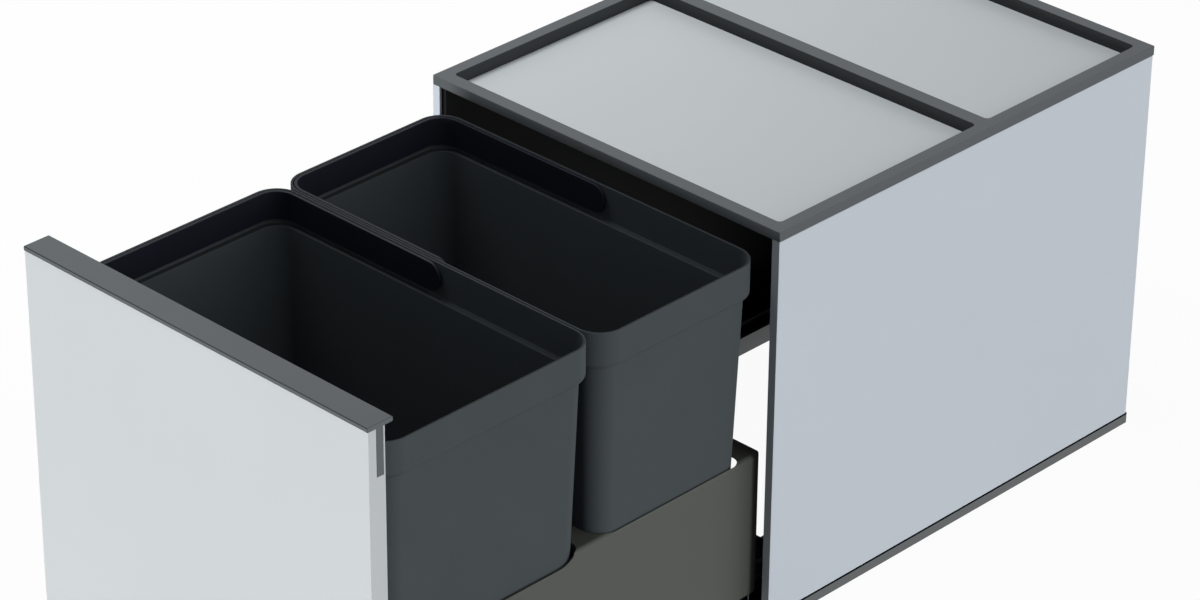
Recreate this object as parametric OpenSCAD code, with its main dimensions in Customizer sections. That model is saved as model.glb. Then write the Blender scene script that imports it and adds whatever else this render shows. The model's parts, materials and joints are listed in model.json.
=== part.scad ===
// Pull-out waste bin unit, shown fully open: a low carcass with a framed top, a pair of telescopic
// runners, a sheet-steel bin frame with a board front, and two bins with swinging bail handles.
// X is the width, +Y points to the back, +Z up. The origin is the middle of the carcass on the floor.

/* [Carcass] */
// Width over the side boards
carcass_w = 450; // [420:1:600]
// Depth from front edge to back edge
carcass_d = 540; // [525:1:640]
// Height to the top of the top frame
carcass_h = 426; // [400:1:560]
// Thickness of a side board
board_t = 8.8; // [8:0.1:18]
// Thickness of the liner inside a side board
liner_t = 3.5; // [2.5:0.1:6]
// Setback of the side boards and liners from the carcass back
board_rear_gap = 2; // [0:0.5:6]
// Setback of the liner from the carcass front
liner_setback = 5; // [0:0.5:20]
// Thickness of the back panel
back_t = 4; // [3:0.5:8]

/* [Top] */
// Visible height of the top frame
top_band_h = 10; // [6:0.5:16]
// Visible width of the front bar
top_front_w = 15; // [10:0.5:25]
// Visible width of the bar between the two panels
top_mid_w = 16.5; // [10:0.5:25]
// Visible width of the rear bar
top_rear_w = 14; // [10:0.5:25]
// Depth of the front panel opening
front_window_d = 273.5; // [200:0.5:300]
// Corner radius of the panel openings
window_r = 4.5; // [2:0.5:10]
// How far the panels lie below the top frame
panel_recess = 13; // [10:0.5:20]
// Thickness of a top panel
panel_t = 4; // [3:0.5:8]
// Thickness of the ledge under a panel
ledge_t = 3; // [2:0.5:5]
// Width of the ledge under a panel
ledge_w = 8; // [4:0.5:12]
// Thickness of the skirt round a panel
skirt_t = 1.4; // [1:0.1:2]
// Gap round a top panel
panel_clear = 0.2; // [0.1:0.05:0.5]

/* [Bottom rails] */
// Width of the strip for the floor screws, beside a runner
hole_strip_w = 12.1; // [10:0.1:20]
// Thickness of a bottom rail
rail_t = 12; // [8:0.5:18]
// Height of the upstand on its inner edge
upstand_h = 20; // [14:0.5:30]
// Thickness of the upstand
upstand_t = 3; // [2:0.5:5]
// Height of the shadow groove under a side board
groove_h = 1; // [0.5:0.1:2]
// Depth of the shadow groove under a side board
groove_d = 1.5; // [0.5:0.1:3]
// Width of the front and rear cross rails
cross_w = 40; // [25:1:50]
// Diameter of the floor screw holes
floor_hole_d = 5.5; // [4:0.1:6]
// Distance of the floor screw holes from the carcass front and back edges
floor_hole_inset = 70; // [60:1:90]

/* [Runners] */
// Width of a runner channel
channel_w = 36; // [32:1:40]
// Height from the bottom rail to the frame floor
runner_h = 46; // [40:1:60]
// Gap between a runner and the rear corner of the bin frame
runner_side_gap = 0.6; // [0.5:0.1:8]
// Steel thickness of the runners
runner_t = 1.5; // [1.2:0.1:2]
// Width of the lips of a channel
lip_w = 6; // [4:0.5:8]
// Width of the screw foot beside a cabinet channel
foot_w = 10; // [9:0.5:12]
// Gap beside a flange of the middle runner
flange_clear = 1.5; // [0.5:0.1:2.5]
// Gap between a flange and the lips over it
lip_clear = 2.9; // [0.5:0.1:4]
// Flange and web thickness of the middle runner
flange_t = 1.8; // [1.2:0.1:2.5]
// Setback of the cabinet runner from the carcass front
runner_setback = 5; // [2:0.5:20]
// Gap between the cabinet runner and the back panel
runner_back_gap = 10; // [5:0.5:30]
// Gap at each end of the drawer runner under the bin frame
runner_end_gap = 2; // [0.5:0.5:10]
// How much shorter the middle runner is than the cabinet runner
middle_shorter = 40; // [20:1:80]
// Diameter of the runner rollers
roller_d = 6; // [4:0.5:7]
// Gap above and below a roller
roller_clear = 0.15; // [0.1:0.01:0.3]
// Length of a roller cage
cage_l = 200; // [120:1:240]
// Thickness of a roller cage
cage_t = 2.4; // [1.5:0.1:3]
// Rollers in one cage
roller_count = 6; // [3:1:8]
// Gap round a roller in its cage
pocket_clear = 0.3; // [0.2:0.05:0.5]
// Length of a soft-close housing
soft_close_l = 140; // [80:1:160]
// Width of a soft-close housing
soft_close_w = 8.8; // [6:0.1:9]
// Height of a soft-close housing
soft_close_h = 18; // [12:0.5:24]

/* [Bin frame] */
// Gap between the liner and the bin frame
side_gap = 11.5; // [3:0.1:15]
// Steel thickness of the bin frame
sheet_t = 1.5; // [1:0.1:2]
// Outer radius of the two rear corners
frame_r = 5; // [4:0.5:12]
// Outer radius of the bend between a side wall and the top of the frame
bend_r = 5; // [3:0.5:8]
// Height of the top of the frame above the frame floor
wall_rise = 121.5; // [110:0.5:160]
// How much lower the side walls are beside the front bin
wall_step = 10; // [4:0.5:16]
// Radius of the hollow curve in which a side wall steps down
step_r = 28.5; // [15:0.5:40]
// Distance of that curve from the bridge between the bins
step_offset = 7.5; // [2:0.5:20]
// Corner radius of the bin openings, front corners of the rear opening
opening_front_r = 22; // [10:0.5:30]
// Corner radius of the bin openings, rear corners
opening_back_r = 11.5; // [6:0.5:20]
// How far the skirt of the side walls reaches below the frame floor
skirt_drop = 29; // [12:0.5:34]
// Room behind the closed bin frame
rear_room = 43.1; // [40:0.1:80]
// Gap between a bin and the front or rear edge of its opening
opening_gap = 0.6; // [0.5:0.1:4]
// Half length of the window in the rear wall
window_half = 175.5; // [100:0.5:180]
// Height of the window in the rear wall
window_h = 50; // [20:1:80]
// Distance of the window below the top of the rear wall
window_drop = 12; // [8:0.5:30]
// Corner radius of the window in the rear wall
window_corner_r = 7.5; // [3:0.5:10]
// Width of a rear bracket
bracket_w = 30; // [20:1:34]
// Depth of a rear bracket
bracket_d = 12; // [10:1:26]
// Height of a rear bracket
bracket_h = 21; // [16:1:50]
// Wall of a rear bracket
bracket_wall = 4; // [3:0.5:6]

/* [Drawer front] */
// Thickness of the front board
front_t = 19; // [18:0.5:25]
// How much narrower the front is than the carcass, each side
front_side_gap = 1.5; // [0:0.1:4]
// Gap between the front and the floor
front_floor_gap = 3; // [2:0.5:10]
// How far the front rises above the carcass top
front_rise = 4; // [1:0.5:10]
// Gap between the closed front and the carcass
closed_gap = 2; // [1:0.5:4]
// How far the open bin frame stays inside the carcass front
open_overlap = 9.9; // [0:0.1:15]
// Width of the handle flange from front to back
flange_d = 29.5; // [24:0.5:40]
// Thickness of the handle flange
handle_t = 4.7; // [3:0.1:8]
// Overhang of the handle flange before the front board
handle_overhang = 1; // [0.5:0.1:4]
// Edge radius of the handle flange
handle_edge_r = 1; // [0.5:0.1:1.4]
// Thickness of the handle stem
stem_t = 8; // [4:0.5:10]
// Depth of the handle stem in the front board
stem_h = 47.5; // [20:0.5:60]
// Board left behind the handle stem
stem_lip = 1.8; // [1.5:0.1:4]
// Gap round the handle stem
stem_clear = 0.1; // [0.05:0.05:0.3]
// Length of each leg of a front bracket
angle_l = 34; // [25:1:45]
// Distance of a front bracket from the top and bottom of the frame wall
angle_margin = 13; // [5:0.5:30]
// Steel thickness of a front bracket
angle_t = 2; // [1.5:0.1:3]

/* [Bins] */
// Outer depth of the front bin at its rim
front_bin_d = 260.4; // [200:0.1:290]
// Gap between the front bin and the handle flange it lifts past
lift_clear = 0.6; // [0.3:0.1:6]
// Gap between the two bins
bin_gap = 1; // [0.5:0.1:6]
// Gap between the rear bin and the inside of the rear wall
rear_bin_gap = 12.4; // [8:0.1:20]
// How far the bin rims reach past the outer faces of the bin frame
rim_over = 7.8; // [0:0.1:12]
// Headroom between the bin rims and the top frame
headroom = 10.1; // [4:0.1:20]
// Height of the wide band at the rim
rim_h = 37.4; // [34:0.1:45]
// Sideways step below the wide band
rim_step = 5.8; // [5:0.1:8]
// Height of the rounded step below the wide band
step_h = 5; // [3:0.5:8]
// Corner radius of a bin at its rim
bin_r = 27; // [20:0.5:40]
// Wall thickness of a bin
bin_t = 2.2; // [1.8:0.1:3]
// Slope of the bin walls in degrees
draft = 1.7; // [0.5:0.05:2]
// Rounding of the lower edge of a bin
base_r = 8; // [4:0.5:12]

/* [Bail handles] */
// Gap between the band and the ledge under it
bail_ledge_gap = 5.9; // [3.5:0.1:8]
// Thickness of a bail handle band
bail_t = 3.2; // [2.5:0.1:4.2]
// Gap between the swinging band and the inside of the rim
bail_clear = 0.5; // [0.2:0.05:1]
// Diameter of the pivot stubs
stub_d = 8; // [5:0.5:12]
// Radial gap of a stub in its hole
stub_clear = 0.05; // [0.02:0.01:0.1]
// Gap between the rim top and the band top
bail_top_gap = 0.3; // [0:0.1:1]

/* [Screws] */
// Screw diameter
screw_d = 4; // [3:0.5:4.5]
// Screw head diameter
screw_head_d = 8; // [6:0.5:8.5]
// Screw head height
screw_head_h = 2.2; // [1.5:0.1:2.8]
// Radial gap of a screw in its hole
screw_clear = 0.1; // [0.05:0.05:0.3]
// Screw length in a board
board_grip = 26; // [12:1:34]
// Screw length in the drawer front
front_grip = 12; // [8:1:14]
// Screw length in a bottom rail
rail_grip = 7; // [5:0.5:7.5]

/* [Hidden] */
$fn = 64;
corner_steps = 8;
arc_step = 30;
cut_over = 1;
thin = 0.01;

light_board = "#cfd4d7";
side_board_grey = "#b9c0ca";
frame_grey = "#5f6466";
liner_grey = "#3a3c3e";
steel = "#a9abad";
painted_steel = "#55564f";
bin_grey = "#464b4e";
bail_black = "#101218";
black_plastic = "#17181a";

half_w = carcass_w / 2;
front_y = -carcass_d / 2;
back_y = carcass_d / 2;
board_x = half_w - board_t;
liner_x = board_x - liner_t;
band_z = carcass_h - top_band_h;
panel_z = carcass_h - panel_recess - panel_t;
ledge_z = panel_z - ledge_t;
window_x = liner_x - skirt_t;
front_window_y = front_y + top_front_w;
rear_window_y = front_window_y + front_window_d + top_mid_w;
rear_window_d = back_y - top_rear_w - rear_window_y;
back_panel_y = back_y - top_rear_w - back_t;

frame_half = liner_x - side_gap;
frame_inner_half = frame_half - sheet_t;
frame_l = carcass_d - rear_room;
frame_back = front_y + open_overlap;
frame_front = frame_back - frame_l;
travel = frame_l - open_overlap - closed_gap;

runner_x0 = frame_half - frame_r - runner_side_gap - channel_w;
runner_mid_x = runner_x0 + channel_w / 2;
rail_x = runner_x0 - hole_strip_w - upstand_t;
floor_hole_x = runner_x0 - hole_strip_w / 2;
floor_hole_y = carcass_d / 2 - floor_hole_inset;
floor_z = rail_t + runner_h;
runner_mid_z = rail_t + runner_h / 2;
roller_z = rail_t + runner_t + roller_clear + roller_d / 2;
upper_roller_z = 2 * runner_mid_z - roller_z;
flange_z = roller_z + roller_d / 2 + roller_clear;
flange_w = channel_w - 2 * (runner_t + flange_clear);
channel_h = flange_z - rail_t + flange_t + lip_clear + runner_t;
roller_l = flange_w - 2 * lip_w;
roller_pitch = cage_l / roller_count;

cabinet_y = front_y + runner_setback;
cabinet_l = back_panel_y - runner_back_gap - cabinet_y;
middle_l = cabinet_l - middle_shorter;
middle_y = cabinet_y + middle_shorter / 2 - travel / 2;
drawer_runner_y = frame_front + runner_end_gap;
drawer_runner_l = frame_l - 2 * runner_end_gap;
lower_cage_y = (cabinet_y + middle_y + middle_l - cage_l) / 2;
upper_cage_y = (middle_y + drawer_runner_y + drawer_runner_l - cage_l) / 2;

bin_z = floor_z + sheet_t;
wall_top = bin_z + wall_rise;
bin_top = ledge_z - headroom;
bin_half = frame_half + rim_over;
rim_z = bin_top - rim_h;
handle_front = frame_front - front_t - handle_overhang;
handle_back = handle_front + flange_d;
rear_bin_back = frame_back - sheet_t - rear_bin_gap;
front_bin_front = handle_back + lift_clear;
front_bin_back = front_bin_front + front_bin_d;
rear_bin_front = front_bin_back + bin_gap;
rear_bin_d = rear_bin_back - rear_bin_front;
divider_y = (front_bin_back + rear_bin_front) / 2;
divider_w = bin_gap + 2 * (wall_inset(wall_top) - opening_gap);
divider_half = frame_inner_half - bend_r;
step_back = divider_y - divider_w / 2 - step_offset;
step_front = step_back - sqrt(wall_step * (2 * step_r - wall_step));
opening_back = rear_bin_back - wall_inset(wall_top) + opening_gap;

bail_h = rim_h - bin_t - bail_top_gap - bail_ledge_gap;
bail_z = bin_top - bail_top_gap - bail_h / 2;
bail_gap = bail_clear + bail_h * bail_h / (8 * bin_half);
front_top = carcass_h + front_rise;
stem_y = frame_front - stem_lip - stem_t;
angle_z = bin_z + angle_margin;
angle_h = wall_rise - wall_step - 2 * angle_margin;

// How far the sloping wall of a bin is set in from its rim at height z
function wall_inset(z) = rim_step + (rim_z - z) * tan(draft);

// Children stay on the right for s = 1 and are mirrored to the left for s = -1
module on_side(s) {
    if (s < 0)
        mirror([1, 0, 0]) children();
    else
        children();
}

// An outline in X and Z, drawn out along Y
module along_y(y, l) {
    translate([0, y + l, 0])
        rotate([90, 0, 0])
            linear_extrude(l)
                children();
}

// An outline in Y and Z, drawn out along X
module along_x(x, l) {
    translate([x, 0, 0])
        rotate([90, 0, 90])
            linear_extrude(l)
                children();
}

// A rectangle with round corners, centred
module round_rect(w, d, r) {
    square([w - 2 * r, d], center = true);
    square([w, d - 2 * r], center = true);
    for (x = [-1, 1], y = [-1, 1])
        translate([x * (w / 2 - r), y * (d / 2 - r)])
            circle(r);
}

// A pan-head screw on the origin, with its head above and its shank along -Z
module screw(l) {
    cylinder(d = screw_head_d, h = screw_head_h);
    translate([0, 0, -l])
        cylinder(d = screw_d, h = l + thin);
}

// The hole for a screw shank, from the origin along -Z
module screw_hole(l) {
    translate([0, 0, -l])
        cylinder(d = screw_d + 2 * screw_clear, h = l + cut_over);
}

// Carcass

module at_carcass_screws() {
    for (y = [-3, -1, 1, 3])
        translate([board_x + board_t / 2, y * carcass_d / 8, screw_head_h])
            rotate([180, 0, 0])
                children();
}

module side_board(s) {
    color(side_board_grey)
        on_side(s)
            difference() {
                translate([board_x, front_y, rail_t])
                    cube([board_t, carcass_d - board_rear_gap, band_z - rail_t]);
                at_carcass_screws()
                    screw_hole(rail_t + board_grip);
            }
}

module liner(s) {
    color(liner_grey)
        on_side(s)
            translate([liner_x, front_y + liner_setback, rail_t])
                cube([liner_t, carcass_d - liner_setback - board_rear_gap, band_z - rail_t]);
}

module back_panel() {
    color(liner_grey)
        translate([-liner_x, back_panel_y, rail_t])
            cube([2 * liner_x, back_t, ledge_z - rail_t]);
}

// Places children at the middle of a panel opening
module at_window(y, d) {
    translate([0, y + d / 2, 0])
        children();
}

module window_ring(y, d) {
    at_window(y, d)
        difference() {
            round_rect(2 * (window_x + skirt_t), d + 2 * skirt_t, window_r + skirt_t);
            round_rect(2 * window_x, d, window_r);
        }
}

module window_ledge(y, d) {
    at_window(y, d)
        difference() {
            round_rect(2 * (window_x + skirt_t), d + 2 * skirt_t, window_r + skirt_t);
            square([2 * (window_x - ledge_w), d - 2 * ledge_w], center = true);
        }
}

module top_frame() {
    windows = [[front_window_y, front_window_d], [rear_window_y, rear_window_d]];
    color(frame_grey) {
        translate([0, 0, band_z])
            linear_extrude(top_band_h)
                difference() {
                    square([carcass_w, carcass_d], center = true);
                    for (window = windows)
                        at_window(window[0], window[1])
                            round_rect(2 * window_x, window[1], window_r);
                }
        for (window = windows) {
            translate([0, 0, ledge_z])
                linear_extrude(band_z - ledge_z)
                    window_ring(window[0], window[1]);
            translate([0, 0, ledge_z])
                linear_extrude(ledge_t)
                    window_ledge(window[0], window[1]);
        }
    }
}

module top_panel(y, d) {
    color(light_board)
        translate([0, y + d / 2, panel_z])
            linear_extrude(panel_t)
                round_rect(2 * (window_x - panel_clear), d - 2 * panel_clear, window_r - panel_clear);
}

module at_runner_screws() {
    for (y = [0.12, 0.5, 0.88])
        translate([
            runner_x0 + channel_w + foot_w / 2,
            cabinet_y + y * cabinet_l,
            rail_t + runner_t
        ])
            children();
}

module bottom_rail(s) {
    color(frame_grey)
        on_side(s)
            difference() {
                union() {
                    along_y(front_y, carcass_d)
                        polygon([
                            [rail_x, 0],
                            [half_w, 0],
                            [half_w, rail_t - groove_h],
                            [half_w - groove_d, rail_t - groove_h],
                            [half_w - groove_d, rail_t],
                            [rail_x, rail_t]
                        ]);
                    translate([rail_x, front_y, rail_t - thin])
                        cube([upstand_t, back_panel_y - front_y, upstand_h - rail_t + thin]);
                }
                for (y = [-1, 1])
                    translate([floor_hole_x, y * floor_hole_y, -cut_over])
                        cylinder(d = floor_hole_d, h = rail_t + 2 * cut_over);
                at_carcass_screws() {
                    screw_hole(rail_t);
                    translate([0, 0, -thin])
                        cylinder(d = screw_head_d + 2 * screw_clear, h = screw_head_h + cut_over);
                }
                at_runner_screws()
                    screw_hole(runner_t + rail_grip + cut_over);
            }
}

module cross_rail(y) {
    color(frame_grey)
        translate([-rail_x, y, 0])
            cube([2 * rail_x, cross_w, rail_t]);
}

module carcass_screws() {
    color(steel)
        for (s = [-1, 1])
            on_side(s)
                at_carcass_screws()
                    screw(rail_t - screw_head_h + board_grip);
}

// Runners

// Outline of a channel with lips, open upwards, standing on Z = 0 about X = 0
module channel_outline() {
    half = channel_w / 2;
    polygon([
        [-half, 0],
        [half, 0],
        [half, channel_h],
        [half - runner_t - lip_w, channel_h],
        [half - runner_t - lip_w, channel_h - runner_t],
        [half - runner_t, channel_h - runner_t],
        [half - runner_t, runner_t],
        [-half + runner_t, runner_t],
        [-half + runner_t, channel_h - runner_t],
        [-half + runner_t + lip_w, channel_h - runner_t],
        [-half + runner_t + lip_w, channel_h],
        [-half, channel_h]
    ]);
}

module cabinet_runner(s) {
    color(steel)
        on_side(s)
            difference() {
                along_y(cabinet_y, cabinet_l) {
                    translate([runner_mid_x, rail_t])
                        channel_outline();
                    translate([runner_x0 + channel_w - runner_t, rail_t])
                        square([foot_w + runner_t, runner_t]);
                }
                at_runner_screws()
                    screw_hole(runner_t + cut_over);
            }
}

module runner_screws() {
    color(steel)
        for (s = [-1, 1])
            on_side(s)
                at_runner_screws()
                    screw(runner_t + rail_grip);
}

module soft_close(s) {
    color(black_plastic)
        on_side(s)
            translate([runner_x0 - soft_close_w, -soft_close_l / 2, rail_t])
                cube([soft_close_w, soft_close_l, soft_close_h]);
}

module middle_runner(s) {
    color(steel)
        on_side(s)
            along_y(middle_y, middle_l)
                translate([runner_mid_x, runner_mid_z]) {
                    square([flange_t, 2 * (runner_mid_z - flange_z)], center = true);
                    for (side = [-1, 1])
                        translate([0, side * (runner_mid_z - flange_z - flange_t / 2)])
                            square([flange_w, flange_t], center = true);
                }
}

module drawer_runner(s) {
    color(steel)
        on_side(s)
            along_y(drawer_runner_y, drawer_runner_l)
                translate([runner_mid_x, floor_z])
                    mirror([0, 1])
                        channel_outline();
}

// The middle of each roller of one cage that starts at y
module at_rollers(y, z) {
    for (i = [0 : roller_count - 1])
        translate([runner_mid_x, y + (i + 0.5) * roller_pitch, z])
            children();
}

module cage(s, y, z) {
    color(black_plastic)
        on_side(s)
            difference() {
                translate([runner_mid_x - flange_w / 2, y, z - cage_t / 2])
                    cube([flange_w, cage_l, cage_t]);
                at_rollers(y, z)
                    cube(
                        [roller_l + 2 * pocket_clear, roller_d + 2 * pocket_clear, roller_d],
                        center = true
                    );
            }
}

module rollers(s, y, z) {
    color(steel)
        on_side(s)
            at_rollers(y, z)
                rotate([0, 90, 0])
                    cylinder(d = roller_d, h = roller_l, center = true);
}

// Bin frame

// The bin frame in plan, filled
module frame_plan() {
    translate([-frame_half, frame_front])
        square([2 * frame_half, frame_l - frame_r]);
    translate([-frame_half + frame_r, frame_back - 2 * frame_r])
        square([2 * (frame_half - frame_r), 2 * frame_r]);
    for (x = [-1, 1])
        translate([x * (frame_half - frame_r), frame_back - frame_r])
            circle(frame_r);
}

// The space inside the frame walls, drawn further to the front by reach
module frame_inside(reach) {
    inner_r = frame_r - sheet_t;
    inner_back = frame_back - sheet_t;
    translate([-frame_inner_half, frame_front - reach])
        square([2 * frame_inner_half, inner_back - inner_r - frame_front + reach]);
    translate([-frame_inner_half + inner_r, inner_back - 2 * inner_r])
        square([2 * (frame_inner_half - inner_r), 2 * inner_r]);
    for (x = [-1, 1])
        translate([x * (frame_inner_half - inner_r), inner_back - inner_r])
            circle(inner_r);
}

// An outline across the frame with round upper corners
module bend_outline(half, low, high, r) {
    translate([-half, low])
        square([2 * half, high - r - low]);
    translate([-half + r, low])
        square([2 * (half - r), high - low]);
    for (x = [-1, 1])
        translate([x * (half - r), high - r])
            circle(r);
}

// A bin opening in plan, as wide as the frame inside
module opening_plan(front, back, front_r, back_r) {
    translate([-frame_inner_half, front + front_r])
        square([2 * frame_inner_half, back - back_r - front - front_r]);
    translate([-frame_inner_half + front_r, front])
        square([2 * (frame_inner_half - front_r), front_r + cut_over]);
    translate([-frame_inner_half + back_r, back - back_r - cut_over])
        square([2 * (frame_inner_half - back_r), back_r + cut_over]);
    for (x = [-1, 1]) {
        translate([x * (frame_inner_half - front_r), front + front_r])
            circle(front_r);
        translate([x * (frame_inner_half - back_r), back - back_r])
            circle(back_r);
    }
}

// What is cut from above the side walls beside the front bin, seen from the side
module step_outline() {
    low = wall_top - wall_step;
    translate([frame_front - cut_over, low])
        square([step_front - frame_front + cut_over, wall_step + cut_over]);
    intersection() {
        translate([step_front, low + step_r])
            circle(step_r);
        translate([step_front - cut_over, low])
            square([step_back - step_front + cut_over, wall_step]);
    }
}

module bin_frame() {
    skirt_z = floor_z - skirt_drop;
    inner_top = wall_top - sheet_t;
    clear_half = frame_half - frame_r;
    color(painted_steel)
        difference() {
            intersection() {
                translate([0, 0, skirt_z])
                    linear_extrude(wall_top - skirt_z)
                        frame_plan();
                along_y(frame_front - cut_over, frame_l + 2 * cut_over)
                    bend_outline(frame_half, skirt_z - cut_over, wall_top, bend_r);
            }
            intersection() {
                translate([0, 0, skirt_z - cut_over])
                    linear_extrude(inner_top - skirt_z + cut_over)
                        frame_inside(cut_over);
                along_y(frame_front - 2 * cut_over, frame_l + 2 * cut_over)
                    bend_outline(frame_inner_half, skirt_z - 2 * cut_over, inner_top, bend_r - sheet_t);
            }
            translate([0, 0, wall_top - 2 * bend_r])
                linear_extrude(2 * bend_r + cut_over) {
                    opening_plan(divider_y + divider_w / 2, opening_back, opening_front_r, opening_back_r);
                    opening_plan(
                        step_front - opening_back_r,
                        divider_y - divider_w / 2,
                        opening_back_r,
                        opening_back_r
                    );
                }
            along_x(-half_w, carcass_w)
                step_outline();
            translate([-clear_half, frame_back - 2 * frame_r, skirt_z - cut_over])
                cube([2 * clear_half, 3 * frame_r, skirt_drop + cut_over]);
            translate([0, frame_back + cut_over, wall_top - window_drop - window_h / 2])
                rotate([90, 0, 0])
                    linear_extrude(sheet_t + 2 * cut_over)
                        round_rect(2 * window_half, window_h, window_corner_r);
        }
}

module frame_floor() {
    color(painted_steel)
        translate([0, 0, floor_z])
            linear_extrude(sheet_t)
                intersection() {
                    frame_inside(0);
                    translate([-half_w, frame_front])
                        square([carcass_w, frame_l]);
                }
}

module frame_divider() {
    color(painted_steel)
        difference() {
            translate([-divider_half, divider_y - divider_w / 2, bin_z])
                cube([2 * divider_half, divider_w, wall_rise - sheet_t]);
            translate([-half_w, divider_y - divider_w / 2 + sheet_t, bin_z - cut_over])
                cube([carcass_w, divider_w - 2 * sheet_t, wall_rise + cut_over - 2 * sheet_t]);
        }
}

module rear_bracket(s) {
    outer_x = frame_half - frame_r;
    color(black_plastic)
        on_side(s)
            difference() {
                translate([outer_x - bracket_w, frame_back, floor_z])
                    cube([bracket_w, bracket_d, bracket_h]);
                translate([outer_x - bracket_w + bracket_wall, frame_back + bracket_wall, floor_z - cut_over])
                    cube([
                        bracket_w - 2 * bracket_wall,
                        bracket_d,
                        bracket_h - bracket_wall + cut_over
                    ]);
            }
}

// Drawer front

module at_front_screws() {
    for (z = [-1, 1])
        translate([
            frame_inner_half - angle_l / 2,
            frame_front + angle_t,
            angle_z + angle_h / 2 + z * angle_h / 4
        ])
            rotate([-90, 0, 0])
                children();
}

module drawer_front() {
    half = half_w - front_side_gap;
    color(light_board)
        difference() {
            translate([-half, frame_front - front_t, front_floor_gap])
                cube([2 * half, front_t, front_top - front_floor_gap]);
            translate([-half_w, stem_y - stem_clear, front_top - stem_h - stem_clear])
                cube([carcass_w, stem_t + 2 * stem_clear, stem_h + cut_over]);
            for (s = [-1, 1])
                on_side(s)
                    at_front_screws()
                        screw_hole(angle_t + front_grip + cut_over);
        }
}

module handle_profile() {
    half = half_w - front_side_gap;
    color(frame_grey)
        along_x(-half, 2 * half) {
            translate([handle_front + flange_d / 2, front_top + handle_t / 2])
                round_rect(flange_d, handle_t, handle_edge_r);
            translate([stem_y, front_top - stem_h])
                square([stem_t, stem_h + handle_t / 2]);
        }
}

module front_bracket(s) {
    color(steel)
        on_side(s)
            difference() {
                translate([0, 0, angle_z])
                    linear_extrude(angle_h)
                        polygon([
                            [frame_inner_half, frame_front],
                            [frame_inner_half, frame_front + angle_l],
                            [frame_inner_half - angle_t, frame_front + angle_l],
                            [frame_inner_half - angle_t, frame_front + angle_t],
                            [frame_inner_half - angle_l, frame_front + angle_t],
                            [frame_inner_half - angle_l, frame_front]
                        ]);
                at_front_screws()
                    screw_hole(angle_t + cut_over);
            }
}

module front_screws() {
    color(steel)
        for (s = [-1, 1])
            on_side(s)
                at_front_screws()
                    screw(angle_t + front_grip);
}

// Bins

// A quarter round of the wall's section as [height, inset], from its foot up to the wall
function section_arc(z, inset, height, width) = [
    for (a = [90 : -arc_step : 0]) [z + height * (1 - sin(a)), inset + width * (1 - cos(a))]
];

function turned(list) = [for (i = [len(list) - 1 : -1 : 0]) list[i]];

// One ring of points round a bin of rim depth d, as [height, inset] says
function bin_ring(d, level) =
    let (
        half = bin_half - level[1],
        half_d = d / 2 - level[1],
        r = bin_r - min(level[1], rim_step + bin_t)
    )
    [
        for (corner = [[1, 1, 0], [-1, 1, 90], [-1, -1, 180], [1, -1, 270]])
            for (i = [0 : corner_steps])
                let (a = corner[2] + 90 * i / corner_steps)
                [corner[0] * (half - r) + r * cos(a), corner[1] * (half_d - r) + r * sin(a), level[0]]
    ];

// A bin in its outline, hollow from the rim down, with a hole for a bail stub in two walls
module bin(y, d) {
    floor_top = bin_z + bin_t;
    ledge_top = rim_z + bin_t;
    levels = concat(
        section_arc(bin_z, wall_inset(bin_z + base_r), base_r, base_r),
        section_arc(rim_z, 0, step_h, rim_step),
        [[bin_top, 0], [bin_top, bin_t]],
        turned(section_arc(ledge_top, bin_t, step_h - bin_t, rim_step - bin_t)),
        [[ledge_top, wall_inset(ledge_top) + bin_t]],
        turned(section_arc(floor_top, wall_inset(floor_top + base_r) + bin_t, base_r, base_r))
    );
    count = 4 * (corner_steps + 1);
    last = count * (len(levels) - 1);
    color(bin_grey)
        translate([0, y + d / 2, 0])
            difference() {
                polyhedron(
                    points = [for (level = levels) each bin_ring(d, level)],
                    faces = concat(
                        [[for (i = [0 : count - 1]) i]],
                        [
                            for (k = [0 : len(levels) - 2], i = [0 : count - 1])
                                let (n = (i + 1) % count, low = k * count, high = low + count)
                                [low + i, high + i, high + n, low + n]
                        ],
                        [[for (i = [count - 1 : -1 : 0]) last + i]]
                    )
                );
                translate([0, 0, bail_z])
                    rotate([90, 0, 0])
                        cylinder(d = stub_d + 2 * stub_clear, h = d + cut_over, center = true);
            }
}

// A U-shaped band on the left half of a bin, with round ends and a stub on each arm
module bail(y, d) {
    gap = bin_t + bail_gap;
    half = bin_half - gap;
    depth = d - 2 * gap;
    r = bin_r - gap;
    color(bail_black)
        translate([0, y + d / 2, bail_z]) {
            translate([0, 0, -bail_h / 2])
                linear_extrude(bail_h)
                    difference() {
                        round_rect(2 * half, depth, r);
                        round_rect(2 * (half - bail_t), depth - 2 * bail_t, r - bail_t);
                        translate([0, -depth])
                            square([half + cut_over, 2 * depth]);
                    }
            for (side = [-1, 1])
                translate([0, side * (depth / 2 - bail_t / 2), 0])
                    rotate([90, 0, 0])
                        cylinder(d = bail_h, h = bail_t, center = true);
            for (side = [-1, 1])
                translate([0, side * (depth / 2 + gap / 2 - thin), 0])
                    rotate([90, 0, 0])
                        cylinder(d = stub_d, h = gap, center = true);
        }
}

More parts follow.
